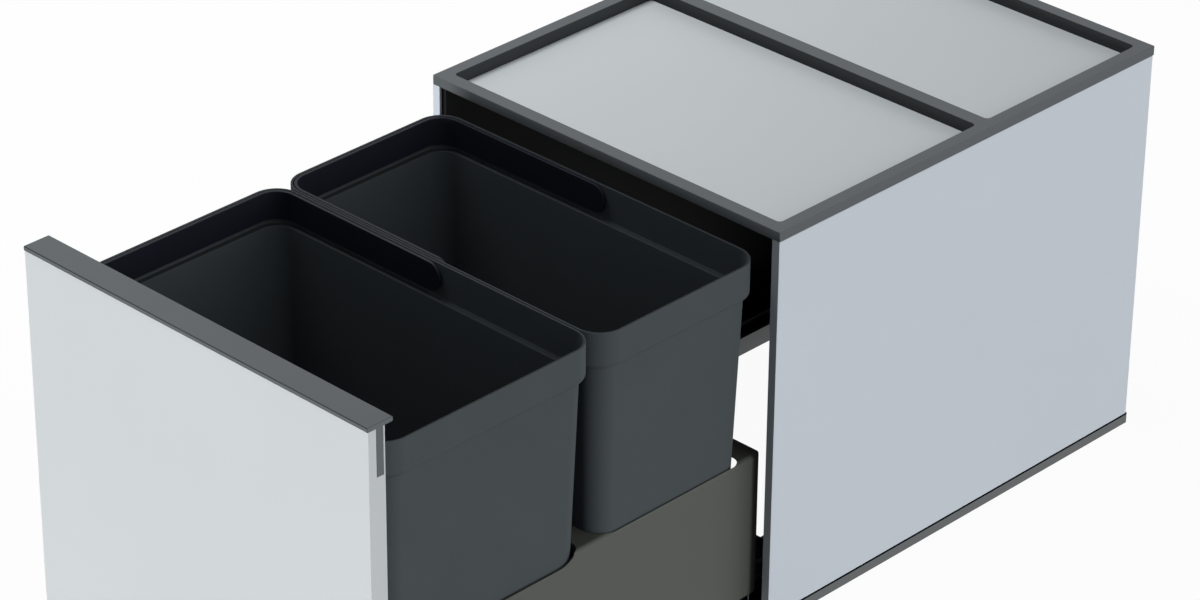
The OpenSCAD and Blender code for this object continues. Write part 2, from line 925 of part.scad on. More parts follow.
side_board(-1);  // side_board_left
side_board(1);  // side_board_right
liner(-1);  // liner_left
liner(1);  // liner_right
back_panel();
top_frame();
top_panel(front_window_y, front_window_d);  // top_panel_front
top_panel(rear_window_y, rear_window_d);  // top_panel_rear
bottom_rail(-1);  // bottom_rail_left
bottom_rail(1);  // bottom_rail_right
cross_rail(front_y);  // cross_rail_front
cross_rail(back_y - cross_w);  // cross_rail_rear
carcass_screws();
cabinet_runner(-1);  // cabinet_runner_left
cabinet_runner(1);  // cabinet_runner_right
soft_close(-1);  // soft_close_left
soft_close(1);  // soft_close_right
runner_screws();
cage(-1, lower_cage_y, roller_z);  // lower_cage_left
cage(1, lower_cage_y, roller_z);  // lower_cage_right
rollers(-1, lower_cage_y, roller_z);  // lower_rollers_left
rollers(1, lower_cage_y, roller_z);  // lower_rollers_right
middle_runner(-1);  // middle_runner_left
middle_runner(1);  // middle_runner_right
cage(-1, upper_cage_y, upper_roller_z);  // upper_cage_left
cage(1, upper_cage_y, upper_roller_z);  // upper_cage_right
rollers(-1, upper_cage_y, upper_roller_z);  // upper_rollers_left
rollers(1, upper_cage_y, upper_roller_z);  // upper_rollers_right
drawer_runner(-1);  // drawer_runner_left
drawer_runner(1);  // drawer_runner_right
rear_bracket(-1);  // rear_bracket_left
rear_bracket(1);  // rear_bracket_right
bin_frame();
frame_floor();
frame_divider();
drawer_front();
handle_profile();
front_bracket(-1);  // front_bracket_left
front_bracket(1);  // front_bracket_right
front_screws();
bin(front_bin_front, front_bin_d);  // front_bin
bin(rear_bin_front, rear_bin_d);  // rear_bin
bail(front_bin_front, front_bin_d);  // front_bin_handle
bail(rear_bin_front, rear_bin_d);  // rear_bin_handle
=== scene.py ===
"""Looks of the pull-out bin unit: finishes, finer bins and bails, studio floor, light and camera."""

import json
import math

import bpy
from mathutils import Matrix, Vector


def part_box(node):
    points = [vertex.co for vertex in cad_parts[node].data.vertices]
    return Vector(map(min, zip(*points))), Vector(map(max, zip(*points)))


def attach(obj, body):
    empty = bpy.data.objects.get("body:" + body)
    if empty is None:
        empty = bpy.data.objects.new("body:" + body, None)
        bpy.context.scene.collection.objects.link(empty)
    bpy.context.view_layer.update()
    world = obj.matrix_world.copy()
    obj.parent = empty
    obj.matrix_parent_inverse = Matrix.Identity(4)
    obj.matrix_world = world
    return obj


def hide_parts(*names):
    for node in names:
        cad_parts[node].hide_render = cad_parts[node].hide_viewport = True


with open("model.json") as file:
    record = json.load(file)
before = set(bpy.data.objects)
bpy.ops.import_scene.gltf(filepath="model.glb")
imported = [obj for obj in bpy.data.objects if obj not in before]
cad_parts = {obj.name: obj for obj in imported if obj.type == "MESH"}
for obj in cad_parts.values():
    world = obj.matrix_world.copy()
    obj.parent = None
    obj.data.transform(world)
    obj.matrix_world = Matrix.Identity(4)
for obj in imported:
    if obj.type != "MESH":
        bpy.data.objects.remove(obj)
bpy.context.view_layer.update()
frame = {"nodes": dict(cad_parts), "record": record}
NODES = frame["nodes"]
MM = 0.001


# Shader building


class Socket:
    """One output of a finish's node tree. Operators on it add Math nodes."""

    def __init__(self, finish, plug):
        self.finish = finish
        self.plug = plug

    def math(self, operation, first, second=0.0, clamp=False):
        """One Math node on two values."""
        settings = {"operation": operation, "use_clamp": clamp}
        return self.finish.node("ShaderNodeMath", settings, {0: first, 1: second})

    def __add__(self, other):
        return self.math("ADD", self, other)

    def __radd__(self, other):
        return self.math("ADD", other, self)

    def __sub__(self, other):
        return self.math("SUBTRACT", self, other)

    def __rsub__(self, other):
        return self.math("SUBTRACT", other, self)

    def __mul__(self, other):
        return self.math("MULTIPLY", self, other)

    def __rmul__(self, other):
        return self.math("MULTIPLY", other, self)

    def __lt__(self, other):
        return self.math("LESS_THAN", self, other)

    def __gt__(self, other):
        return self.math("GREATER_THAN", self, other)

    def __abs__(self):
        return self.math("ABSOLUTE", self)

    def limited(self, factor):
        """The value times a factor, held between 0 and 1."""
        return self.math("MULTIPLY", self, factor, clamp=True)


# How nearly a face looks along an axis when it counts as looking that way, and as flat
FACING = 0.7
FLAT = 0.96
BEVEL_SAMPLES = 4
EDGE_GAIN = 4


class Finish:
    """A material under construction, with its tree and its main shader."""

    def __init__(self, name):
        self.material = bpy.data.materials.new(name)
        self.material.use_nodes = True
        self.tree = self.material.node_tree
        self.shader = self.tree.nodes["Principled BSDF"]
        self.place = self.node("ShaderNodeTexCoord", out="Object")

    def node(self, kind, settings=None, inputs=None, out=0):
        """Adds one node: its settings first, then the values or links of its inputs."""
        made = self.tree.nodes.new(kind)
        for key, value in (settings or {}).items():
            setattr(made, key, value)
        for key, value in (inputs or {}).items():
            self.feed(made.inputs[key], value)
        return Socket(self, made.outputs[out])

    def feed(self, plug, value):
        """Links a socket to an input, or sets the input to a plain value."""
        if isinstance(value, Socket):
            self.tree.links.new(value.plug, plug)
        else:
            plug.default_value = value

    def set(self, **values):
        """Sets or links sockets of the main shader, named with underscores for spaces."""
        for key, value in values.items():
            self.feed(self.shader.inputs[key.replace("_", " ")], value)

    def stretched(self, scale):
        """The place on the surface with each axis scaled by its own factor."""
        return self.node("ShaderNodeMapping", None, {"Vector": self.place, "Scale": scale})

    def noise(self, size, detail=2.0, stretch=None):
        """Noise from 0 to 1 whose spots are about size metres wide."""
        place = self.stretched(stretch) if stretch else self.place
        return self.node(
            "ShaderNodeTexNoise", None, {"Vector": place, "Scale": 1 / size, "Detail": detail}
        )

    def blend(self, factor, first, second):
        """The first colour where the factor is 0, and the second where it is 1."""
        return self.node(
            "ShaderNodeMix", {"data_type": "RGBA"}, {0: factor, 6: first, 7: second}, out=2
        )

    def mottled(self, tone, colour, tones):
        """The colour times the first of two tones where tone is 0, and the second where it is 1."""
        dark, light = tones
        return self.blend(tone, shaded(colour, dark), shaded(colour, light))

    def along(self, axis, vector=None):
        """One coordinate of a vector, by default of the place on the surface."""
        return self.node("ShaderNodeSeparateXYZ", None, {0: vector or self.place}, out=axis)

    def faces(self, axis, least=FACING):
        """1 where the surface looks along that axis, either way, and 0 elsewhere."""
        normal = self.node("ShaderNodeTexCoord", out="Normal")
        return abs(self.along(axis, normal)) > least

    def turns(self):
        """1 on the round of an edge, where the surface looks along no axis, and 0 on the flats."""
        return 1 - self.faces("X", FLAT) - self.faces("Y", FLAT) - self.faces("Z", FLAT)

    def edges(self, width):
        """1 along sharp edges, fading to 0 within that width."""
        rounded = self.node("ShaderNodeBevel", {"samples": BEVEL_SAMPLES}, {"Radius": width})
        plain = self.node("ShaderNodeNewGeometry", out="Normal")
        alike = self.node(
            "ShaderNodeVectorMath", {"operation": "DOT_PRODUCT"}, {0: rounded, 1: plain}, out="Value"
        )
        return (1 - alike).limited(EDGE_GAIN)

    def bump(self, height, depth, strength):
        """Feeds the main shader's normal with a relief of that depth in metres."""
        self.set(Normal=self.node(
            "ShaderNodeBump", None, {"Height": height, "Distance": depth, "Strength": strength}
        ))


def srgb(red, green, blue):
    """A colour as a screen shows it, 0 to 255, turned into the shader's linear values."""
    def linear(value):
        value /= 255
        return value / 12.92 if value <= 0.04045 else ((value + 0.055) / 1.055) ** 2.4
    return (linear(red), linear(green), linear(blue), 1.0)


def shaded(colour, factor):
    """The colour made darker or lighter by a factor."""
    return tuple(part * factor for part in colour[:3]) + (1.0,)


# Finishes. Tones are the factors on a colour at the two ends of its mottling.

EDGE_WIDTH = 0.8 * MM
FLECK = 0.5 * MM
BOARD_CLOUD = 140 * MM
BOARD_TONES = (0.955, 1.04)
GLUE_SHADE = 0.5
BARE_INSIDE = 0.9
LINING = 0.022


def laminate(name, colour, gloss=0.42, band=1.0, shine=0.2, lined=None, ends=1.0):
    """Light board: fine flecks and a faint cloud under a soft sheen, with glue lines at the edges.

    band darkens the faces that look along X, the sides of the board, as painted shade. ends makes
    the faces that look along Y, its front and back edges, lighter or darker as painted light or
    shade. lined marks the inner face of a side board, and how far back its dark liner colour starts.
    """
    finish = Finish(name)
    fleck = finish.noise(FLECK, 3)
    cloud = finish.noise(BOARD_CLOUD, 3)
    tone = fleck * 0.5 + cloud * 0.5
    surface = finish.mottled(tone, colour, BOARD_TONES)
    # Painted shade: the faces that look along X, the sides of the board, darker than its face
    if band != 1:
        shaded_side_faces = finish.mottled(tone, shaded(colour, band), BOARD_TONES)
        surface = finish.blend(finish.faces("X"), surface, shaded_side_faces)
    # Painted light or shade: the faces that look along Y, the front and back edges, lighter or darker
    if ends != 1:
        surface = finish.blend(finish.faces("Y"), surface, shaded(colour, ends))
    if lined:
        inner = finish.faces("X") * (abs(finish.along("X")) < lined.x)
        behind = finish.along("Y") > lined.y
        inside = finish.blend(behind, shaded(colour, BARE_INSIDE), shaded(colour, LINING))
        surface = finish.blend(inner, surface, inside)
    glue = finish.edges(EDGE_WIDTH) * (0.15 + fleck * 0.3)
    finish.set(
        Base_Color=finish.blend(glue, surface, shaded(colour, GLUE_SHADE)),
        Roughness=gloss - 0.05 + fleck * 0.1,
        Specular_IOR_Level=shine,
    )
    finish.bump(fleck, 0.02 * MM, 0.35)
    return finish.material


DRAWN_LINE = 0.35 * MM
METAL_CLOUD = 60 * MM
METAL_TONES = (0.86, 1.14)
EDGE_SHADE = 0.45
SHADOW_LINE_BLACK = 0.02
SATIN_SKIN_IOR = 1.62
SATIN_SKIN_GLOSS = 0.45


def anodised(name, colour, standing_light=1.0, recess_shade=1.0, well_box=None, shine=0.15, turns=1.0, shadow_line=None):
    """Dark anodised aluminium: fine drawn lines under a satin skin, darker along the edges.

    upright makes the standing faces lighter or darker as painted light or shade, and turns darkens
    the round of the edges as a painted shadow line. well darkens the standing faces within the given
    box, the walls of a recess, as painted shade. A seam is a black band painted on the outside above
    that height, where it stands in for the shadow in a groove, with the satin skin left off it.
    """
    finish = Finish(name)
    line = finish.noise(DRAWN_LINE, 2)
    cloud = finish.noise(METAL_CLOUD, 2)
    tone = line * 0.6 + cloud * 0.4
    standing = 1 - finish.faces("Z")
    # Painted light or shade: the standing faces lighter or darker than the level ones
    surface = finish.blend(
        standing,
        finish.mottled(tone, colour, METAL_TONES),
        finish.mottled(tone, shaded(colour, standing_light), METAL_TONES),
    )
    # Painted shade: the standing faces inside the given box, the walls of the recesses, are darker
    if well_box:
        inside = (abs(finish.along("X")) < well_box.x) * (abs(finish.along("Y")) < well_box.y)
        recess_shade_colour = finish.mottled(tone, shaded(colour, recess_shade), METAL_TONES)
        surface = finish.blend(inside * standing, surface, recess_shade_colour)
    # Painted shadow line: the round of each edge darker than the flats
    if turns != 1:
        surface = finish.blend(finish.turns(), surface, shaded(colour, turns))
    # Painted shadow: a black band at the top of the rail's outer face stands in for the shadow in the
    # groove under the board, and the satin skin is left off it so that it stays dark
    if shadow_line:
        in_shadow_line = (abs(finish.along("X")) > shadow_line.x) * (finish.along("Z") > shadow_line.z)
        surface = finish.blend(in_shadow_line, surface, shaded(colour, SHADOW_LINE_BLACK))
        finish.set(Coat_Weight=1 - in_shadow_line, Coat_Roughness=SATIN_SKIN_GLOSS, Coat_IOR=SATIN_SKIN_IOR)
    edge = finish.edges(EDGE_WIDTH) * (0.2 + cloud * 0.6)
    finish.set(
        Base_Color=finish.blend(edge, surface, shaded(colour, EDGE_SHADE)),
        Roughness=0.38 + line * 0.14,
        Specular_IOR_Level=shine,
    )
    finish.bump(line, 0.015 * MM, 0.5)
    return finish.material


RUBBED_WIDTH = 1 * MM
PLASTIC_RUB = 45 * MM
PLASTIC_TONES = (0.9, 1.1)
PLASTIC_WEAR = 1.6


def moulded(name, colour, gloss, shine, grain, depth, level_face_shade=1.0):
    """Moulded plastic: an even spark-eroded grain and rubbed spots and edges; ledges darkens the level
    faces as painted shade.
    """
    finish = Finish(name)
    spot = finish.noise(grain, 2)
    rub = finish.noise(PLASTIC_RUB, 4)
    edge = finish.edges(RUBBED_WIDTH) * rub.limited(0.5)
    skin = finish.mottled(spot * 0.5 + rub * 0.5, colour, PLASTIC_TONES)
    # Painted shade: the faces that look along Z, the ledges, rim tops and floor, darker than the walls
    if level_face_shade != 1:
        ledge = finish.mottled(spot, shaded(colour, level_face_shade), PLASTIC_TONES)
        skin = finish.blend(finish.faces("Z"), skin, ledge)
    finish.set(
        Base_Color=finish.blend(edge, skin, shaded(colour, PLASTIC_WEAR)),
        Roughness=gloss - 0.06 + spot * 0.06 + rub * 0.06,
        Specular_IOR_Level=shine,
    )
    finish.bump(spot, depth, 0.6)
    return finish.material


POWDER_RIPPLE = 1.8 * MM
POWDER_SPECK = 0.3 * MM
POWDER_RUB = 20 * MM
POWDER_TONES = (0.9, 1.1)
POWDER_WEAR = 1.7


def powder_coat(name, colour):
    """Painted sheet steel with the low ripple of baked powder, thin and rubbed along the edges."""
    finish = Finish(name)
    ripple = finish.noise(POWDER_RIPPLE, 2)
    speck = finish.noise(POWDER_SPECK, 1)
    rub = finish.noise(POWDER_RUB, 4)
    edge = finish.edges(RUBBED_WIDTH) * rub.limited(0.7)
    paint = finish.mottled(ripple * 0.4 + speck * 0.6, colour, POWDER_TONES)
    finish.set(
        Base_Color=finish.blend(edge, paint, shaded(colour, POWDER_WEAR)),
        Roughness=0.46 + speck * 0.1 - edge * 0.1,
        Specular_IOR_Level=0.2,
    )
    finish.bump(ripple * 0.7 + speck * 0.3, 0.03 * MM, 0.5)
    return finish.material


ROLLING_STREAK = 0.5 * MM
ALONG_RUNNER = (1, 0.02, 1)
ZINC_BLOOM = 25 * MM
ZINC_TONES = (0.8, 1.15)


def zinc_plate(name, colour):
    """Rolled and plated steel, streaked along the runner."""
    finish = Finish(name)
    streak = finish.noise(ROLLING_STREAK, 3, ALONG_RUNNER)
    bloom = finish.noise(ZINC_BLOOM, 4)
    finish.set(
        Base_Color=finish.mottled(streak * 0.5 + bloom * 0.5, colour, ZINC_TONES),
        Roughness=0.28 + bloom * 0.16,
        Metallic=1.0,
    )
    finish.bump(streak, 0.01 * MM, 0.5)
    return finish.material


DARK_ANODISED = srgb(90, 95, 98)
RAIL_GREY = shaded(DARK_ANODISED, 0.55)
SIDE_GREY = srgb(205, 213, 222)

# Places on the nodes where a finish changes
WELL_INSET = 3 * MM
INNER_FACE = 1 * MM
BARE_STRIP = 2.6 * MM
# Where the black band painted as the groove's shadow lies on a rail
SHADOW_LINE_DEPTH = 1.6 * MM
SHADOW_LINE_HEIGHT = 2.3 * MM

TOP_BAR_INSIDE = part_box("top_frame")[1] - Vector((WELL_INSET, WELL_INSET, 0))
BOARD_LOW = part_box("side_board_right")[0]
BOARD_INSIDE = BOARD_LOW + Vector((INNER_FACE, BARE_STRIP, 0))
RAIL_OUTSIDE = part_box("bottom_rail_right")[1].x
RAIL_SHADOW_LINE = Vector((RAIL_OUTSIDE - SHADOW_LINE_DEPTH, 0, BOARD_LOW.z - SHADOW_LINE_HEIGHT))

FINISHES = {
    # Painted shade: the sides of the drawer front are darker than its face
    "front_board": laminate("front_laminate", srgb(222, 227, 230), band=0.8),
    "top_board": laminate("top_laminate", srgb(200, 206, 208), gloss=0.36),
    # Painted light: the front and back edges of these side boards are a little lighter
    "side_board": laminate("side_laminate", SIDE_GREY, lined=BOARD_INSIDE, ends=1.1),
    "dark_aluminium": anodised("dark_anodised", RAIL_GREY, shine=0.7),
    # Painted shade: the front and back edges of the liners are darker
    "liner": laminate("black_liner", srgb(23, 24, 27), gloss=0.6, shine=0.24, ends=0.4),
    "runner_steel": zinc_plate("zinc_plated_steel", srgb(176, 178, 180)),
    "fastener_steel": zinc_plate("bright_steel", srgb(190, 190, 190)),
    "painted_steel": powder_coat("warm_grey_powder", srgb(81, 83, 79)),
    # The bins' level faces are darkened as painted shade
    "bin_plastic": moulded(
        "bin_grey", srgb(73, 79, 82), gloss=0.6, shine=0.05, grain=0.45 * MM, depth=0.03 * MM, level_face_shade=0.5
    ),
    "bail_plastic": moulded(
        "bail_black", srgb(27, 29, 38), gloss=0.42, shine=0.1, grain=0.4 * MM, depth=0.015 * MM
    ),
    "black_plastic": moulded(
        "black_moulding", srgb(25, 26, 27), gloss=0.5, shine=0.4, grain=0.4 * MM, depth=0.02 * MM
    ),
}
# A black strip put in the grooves under the side boards, standing in for their shadow
SHADOW_STRIP_FINISH = moulded(
    "black_shadow_strip", srgb(12, 13, 16), gloss=0.75, shine=0.0, grain=0.4 * MM, depth=0.01 * MM
)
# The rails carry a painted shadow in the groove under their boards
RAIL_FINISH = anodised("anodised_rail", RAIL_GREY, shine=0.0, shadow_line=RAIL_SHADOW_LINE)
# A darker copy of the runner steel, as painted shade on the runners inside the carcass
SHADED_ZINC = zinc_plate("shaded_zinc", srgb(70, 71, 73))

# Nodes with a finish of their own, each carrying painted light or shade for where it stands in the unit
OWN_FINISHES = {
    # Painted shade on the walls of the top frame's windows
    "top_frame": anodised("anodised_top_bar", DARK_ANODISED, recess_shade=0.24, well_box=TOP_BAR_INSIDE),
    # Painted light on the handle's standing faces, and a painted shadow line on the rounds of its edges
    "handle_profile": anodised("anodised_handle", DARK_ANODISED, standing_light=1.24, turns=0.2),
    # Painted shadow: the pulled-out drawer's shadow on the right board's front and back edges, which are
    # darker
    "side_board_right": laminate("side_laminate_shadowed_edge", SIDE_GREY, lined=BOARD_INSIDE, ends=0.65),
    "bottom_rail_left": RAIL_FINISH,
    "bottom_rail_right": RAIL_FINISH,
    "cabinet_runner_left": SHADED_ZINC,
    "cabinet_runner_right": SHADED_ZINC,
}
SLOT_OF = {part["node"]: part["material_slot"] for part in frame["record"]["subparts"]}

PLAIN_EASE = 0.3 * MM
EASE = {"drawer_front": 0.5 * MM, "handle_profile": 0.2 * MM, "top_frame": 0.4 * MM}
SAME_POINT = 0.001 * MM
SAME_PLANE = math.radians(0.2)
SHARP_EDGE = math.radians(40)


def dress(name):
    """Gives a CAD node its finish and eases its edges."""
    piece = NODES[name]
    piece.data.materials.clear()
    piece.data.materials.append(OWN_FINISHES.get(name) or FINISHES[SLOT_OF[name]])
    weld = piece.modifiers.new("join_faces", "WELD")
    weld.merge_threshold = SAME_POINT
    flat = piece.modifiers.new("plain_faces", "DECIMATE")
    flat.decimate_type = "DISSOLVE"
    flat.angle_limit = SAME_PLANE
    ease = piece.modifiers.new("eased_edges", "BEVEL")
    ease.width = EASE.get(name, PLAIN_EASE)
    ease.segments = 2
    ease.limit_method = "ANGLE"
    ease.angle_limit = SHARP_EDGE
    ease.use_clamp_overlap = True
    keep_flats_flat(piece)


# New pieces


def piece_from(name, points, faces, node=None, slot=None, finish=None):
    """A smooth new piece that stands for a CAD node, or one that is added, with the finish given or that
    of its slot.
    """
    mesh = bpy.data.meshes.new(name)
    mesh.from_pydata(points, [], faces)
    mesh.update()
    mesh.shade_smooth()
    piece = bpy.data.objects.new(name, mesh)
    bpy.context.scene.collection.objects.link(piece)
    slot = slot or SLOT_OF[node]
    mesh.materials.append(finish or FINISHES[slot])
    if node:
        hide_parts(node)
    return piece


BIN_WALL = 2.2 * MM
RIM_HEIGHT = 37.4 * MM
RIM_STEP = 5.8 * MM
STEP_HEIGHT = 5 * MM
BIN_CORNER = 27 * MM
BIN_FOOT = 8 * MM
BIN_SLOPE = math.tan(math.radians(1.7))
LIP_ROUND = 0.6 * MM
LEDGE_ROUND = 0.8 * MM
CORNER_STEPS = 20
ARC_STEPS = 6


def arc(centre, radius_z, radius_in, start, end):
    """Points [height, inset] on a quarter of an ellipse, from one angle to another in degrees."""
    angles = [math.radians(start + (end - start) * i / ARC_STEPS) for i in range(ARC_STEPS + 1)]
    return [
        (centre[0] + radius_z * math.sin(a), centre[1] + radius_in * math.cos(a))
        for a in angles
    ]


def bin_section(bottom, top):
    """The wall of a bin as heights and insets, from the outer foot over the rim to the inner foot."""
    rim = top - RIM_HEIGHT
    ledge = rim + BIN_WALL

    def inset(height):
        return RIM_STEP + (rim - height) * BIN_SLOPE

    outer = inset(bottom + BIN_FOOT)
    floor = bottom + BIN_WALL
    inner = inset(floor + BIN_FOOT) + BIN_WALL
    ledge_in = inset(ledge) + BIN_WALL
    step = rim + STEP_HEIGHT
    return [
        *arc((bottom + BIN_FOOT, outer + BIN_FOOT), BIN_FOOT, BIN_FOOT, -90, -180),
        *arc((step, RIM_STEP), STEP_HEIGHT, RIM_STEP, -90, -180),
        *arc((top - LIP_ROUND, LIP_ROUND), LIP_ROUND, LIP_ROUND, 180, 90),
        *arc((top - LIP_ROUND, BIN_WALL - LIP_ROUND), LIP_ROUND, LIP_ROUND, 90, 0),
        *arc((ledge + LEDGE_ROUND, BIN_WALL + LEDGE_ROUND), LEDGE_ROUND, LEDGE_ROUND, 180, 270),
        *arc((ledge - LEDGE_ROUND, ledge_in - LEDGE_ROUND), LEDGE_ROUND, LEDGE_ROUND, 90, 0),
        *arc((floor + BIN_FOOT, inner + BIN_FOOT), BIN_FOOT, BIN_FOOT, 180, 270),
    ]


def ring(centre, half_x, half_y, radius, height):
    """A ring of points round a rectangle with round corners."""
    points = []
    for sign_x, sign_y, start in ((1, 1, 0), (-1, 1, 90), (-1, -1, 180), (1, -1, 270)):
        for i in range(CORNER_STEPS + 1):
            a = math.radians(start + 90 * i / CORNER_STEPS)
            points.append((
                centre.x + sign_x * (half_x - radius) + radius * math.cos(a),
                centre.y + sign_y * (half_y - radius) + radius * math.sin(a),
                height,
            ))
    return points


def loft(rings):
    """Points and faces of a closed solid through rings of equal length."""
    count = len(rings[0])
    points = [point for one in rings for point in one]
    faces = [tuple(range(count - 1, -1, -1))]
    for k in range(len(rings) - 1):
        for i in range(count):
            n = (i + 1) % count
            low, high = k * count, (k + 1) * count
            faces.append((low + i, low + n, high + n, high + i))
    last = (len(rings) - 1) * count
    faces.append(tuple(last + i for i in range(count)))
    return points, faces


def keep_flats_flat(piece):
    """Shades the flats as flats, so that only the rounded edges look round."""
    normals = piece.modifiers.new("flat_shading", "WEIGHTED_NORMAL")
    normals.keep_sharp = True


def bin_shell(name, node):
    """A bin with its drawn-in foot, stepped rim and thin walls."""
    low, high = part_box(node)
    centre = (low + high) / 2
    half = (high - low) / 2
    deepest = RIM_STEP + BIN_WALL
    rings = [
        ring(centre, half.x - inset, half.y - inset, BIN_CORNER - min(inset, deepest), height)
        for height, inset in bin_section(low.z, high.z)
    ]
    piece = piece_from(name, *loft(rings), node)
    keep_flats_flat(piece)
    return piece


BAIL_THICK = 3.2 * MM
BAIL_ROUND = 0.6 * MM
STUB_RADIUS = 4 * MM
BAIL_END_STEPS = 14
BAIL_TIP = 0.02
STUB_STEPS = 32
EDGE_STEPS = 4


def bail_path(low, high, corner):
    """Line of the band from arm end to arm end: x, y, outward x, outward y and share of its height."""
    end = (high.z - low.z) / 2
    left = low.x
    stations = []
    for i in range(BAIL_END_STEPS):
        a = math.radians(90 * (1 - i / BAIL_END_STEPS))
        stations.append((end * math.sin(a), high.y, 0, 1, max(math.cos(a), BAIL_TIP)))
    stations.append((0, high.y, 0, 1, 1))
    for sign in (1, -1):
        y = high.y if sign > 0 else low.y
        turns = [90 * i / CORNER_STEPS for i in range(CORNER_STEPS + 1)]
        for turn in turns if sign > 0 else reversed(turns):
            a = math.radians(turn)
            stations.append((
                left + corner - corner * math.sin(a),
                y - sign * (corner - corner * math.cos(a)),
                -math.sin(a),
                sign * math.cos(a),
                1,
            ))
    stations.append((0, low.y, 0, -1, 1))
    for i in range(1, BAIL_END_STEPS + 1):
        a = math.radians(90 * i / BAIL_END_STEPS)
        stations.append((end * math.sin(a), low.y, 0, -1, max(math.cos(a), BAIL_TIP)))
    return stations


def band_section(height):
    """Outline of the band as (inwards, up) from its outer face's middle, with round edges."""
    radius = min(BAIL_ROUND, 0.4 * height)
    outline = []
    corners = (
        (radius, height / 2 - radius, 180, 90),
        (BAIL_THICK - radius, height / 2 - radius, 90, 0),
        (BAIL_THICK - radius, radius - height / 2, 0, -90),
        (radius, radius - height / 2, -90, -180),
    )
    for inwards, up, start, end in corners:
        for i in range(EDGE_STEPS + 1):
            a = math.radians(start + (end - start) * i / EDGE_STEPS)
            outline.append((inwards + radius * math.cos(a), up + radius * math.sin(a)))
    return outline


def bail_band(name, node, rim_node):
    """The U band of a bail with its two pivot stubs."""
    low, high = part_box(node)
    rim_low, rim_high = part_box(rim_node)
    gap = low.x - rim_low.x
    corner = BIN_CORNER - gap
    low, high = low.copy(), high.copy()
    low.y = rim_low.y + gap
    high.y = rim_high.y - gap
    middle = (low.z + high.z) / 2
    rings = []
    for x, y, out_x, out_y, factor in bail_path(low, high, corner):
        outline = band_section((high.z - low.z) * factor)
        rings.append([
            (x - out_x * inwards, y - out_y * inwards, middle + up) for inwards, up in outline
        ])
    points, faces = loft(rings)
    for side, y in ((1, high.y - BAIL_THICK / 2), (-1, low.y + BAIL_THICK / 2)):
        rim_face = rim_high.y if side > 0 else rim_low.y
        stub_points, stub_faces = stub(y, rim_face - side * BIN_WALL / 2, middle)
        faces += [tuple(len(points) + i for i in face) for face in stub_faces]
        points += stub_points
    piece = piece_from(name, points, faces, node)
    keep_flats_flat(piece)
    return piece


def stub(start, end, height):
    """A round stub along Y from start to end, on X = 0."""
    turns = [2 * math.pi * i / STUB_STEPS for i in range(STUB_STEPS)]
    rings = [
        [(STUB_RADIUS * math.cos(a), y, height + STUB_RADIUS * math.sin(a)) for a in turns]
        for y in (start, end)
    ]
    return loft(rings)


GROOVE_HEIGHT = 1 * MM
GROOVE_DEPTH = 1.5 * MM
STRIP_SETBACK = 0.02 * MM
STRIP_NOSE = 0.1 * MM


def groove_shadow_strip(name, side):
    """A black strip with a low round nose in the groove between a bottom rail and its side board, which
    stands in for the shadow in the groove.
    """
    low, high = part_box("bottom_rail_" + side)
    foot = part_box("side_board_" + side)[0].z
    out = -1 if side == "left" else 1
    face = (low.x if out < 0 else high.x) - out * STRIP_SETBACK
    half = GROOVE_HEIGHT / 2
    nose = [math.radians(-90 + 180 * i / ARC_STEPS) for i in range(ARC_STEPS + 1)]
    outline = [
        (face - out * STRIP_NOSE * (1 - math.cos(a)), foot - half + half * math.sin(a)) for a in nose
    ]
    inner = face - out * (GROOVE_DEPTH - STRIP_SETBACK)
    outline += [(inner, foot), (inner, foot - GROOVE_HEIGHT)]
    ends = (low.y, high.y) if out < 0 else (high.y, low.y)
    rings = [[(x, y, z) for x, z in outline] for y in ends]
    return piece_from(name, *loft(rings), slot="black_plastic", finish=SHADOW_STRIP_FINISH)


for node_name in NODES:
    dress(node_name)

# Black strips that stand in for the shadow in the grooves under the side boards
for side in ("left", "right"):
    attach(groove_shadow_strip("groove_shadow_strip_" + side, side), "carcass")

for place in ("front", "rear"):
    shell = bin_shell(place + "_bin_shell", place + "_bin")
    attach(shell, place + "_bin")
    band = bail_band(place + "_bail_band", place + "_bin_handle", place + "_bin")
    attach(band, place + "_bail")


# Studio

SEEN_RAYS = ("Is Camera Ray", "Is Glossy Ray", "Is Transmission Ray")
WHITE = (1, 1, 1, 1)
FLOOR_SHADOW = 0.05
FLOOR_HALF = 9
FLOOR_DROP = 0.3 * MM
FLOOR_GREY = (0.22, 0.22, 0.22, 1)
SKY_COLOUR = (0.96, 0.98, 1.0, 1)
SKY_STRENGTH = 0.145


def studio_floor():
    """A wide pale floor that the camera sees as white, with the part's own shadow left in it."""
    mesh = bpy.data.meshes.new("studio_floor")
    corners = [(-1, -1), (1, -1), (1, 1), (-1, 1)]
    points = [(x * FLOOR_HALF, y * FLOOR_HALF, -FLOOR_DROP) for x, y in corners]
    mesh.from_pydata(points, [], [(0, 1, 2, 3)])
    floor = bpy.data.objects.new("studio_floor", mesh)
    bpy.context.scene.collection.objects.link(floor)
    finish = Finish("studio_floor")
    finish.set(Base_Color=FLOOR_GREY, Roughness=0.9)
    paths = finish.tree.nodes.new("ShaderNodeLightPath")
    seen = [Socket(finish, paths.outputs[name]) for name in SEEN_RAYS]
    white = finish.node("ShaderNodeEmission", None, {"Color": WHITE, "Strength": 1.0})
    paper = finish.node("ShaderNodeBsdfDiffuse", None, {"Color": WHITE})
    lifted = finish.node("ShaderNodeMixShader", None, {0: FLOOR_SHADOW, 1: white, 2: paper})
    dull = Socket(finish, finish.shader.outputs[0])
    is_seen = seen[0] + seen[1] + seen[2]
    surface = finish.node("ShaderNodeMixShader", None, {0: is_seen, 1: dull, 2: lifted})
    finish.feed(finish.tree.nodes["Material Output"].inputs["Surface"], surface)
    mesh.materials.append(finish.material)
    floor.visible_shadow = False


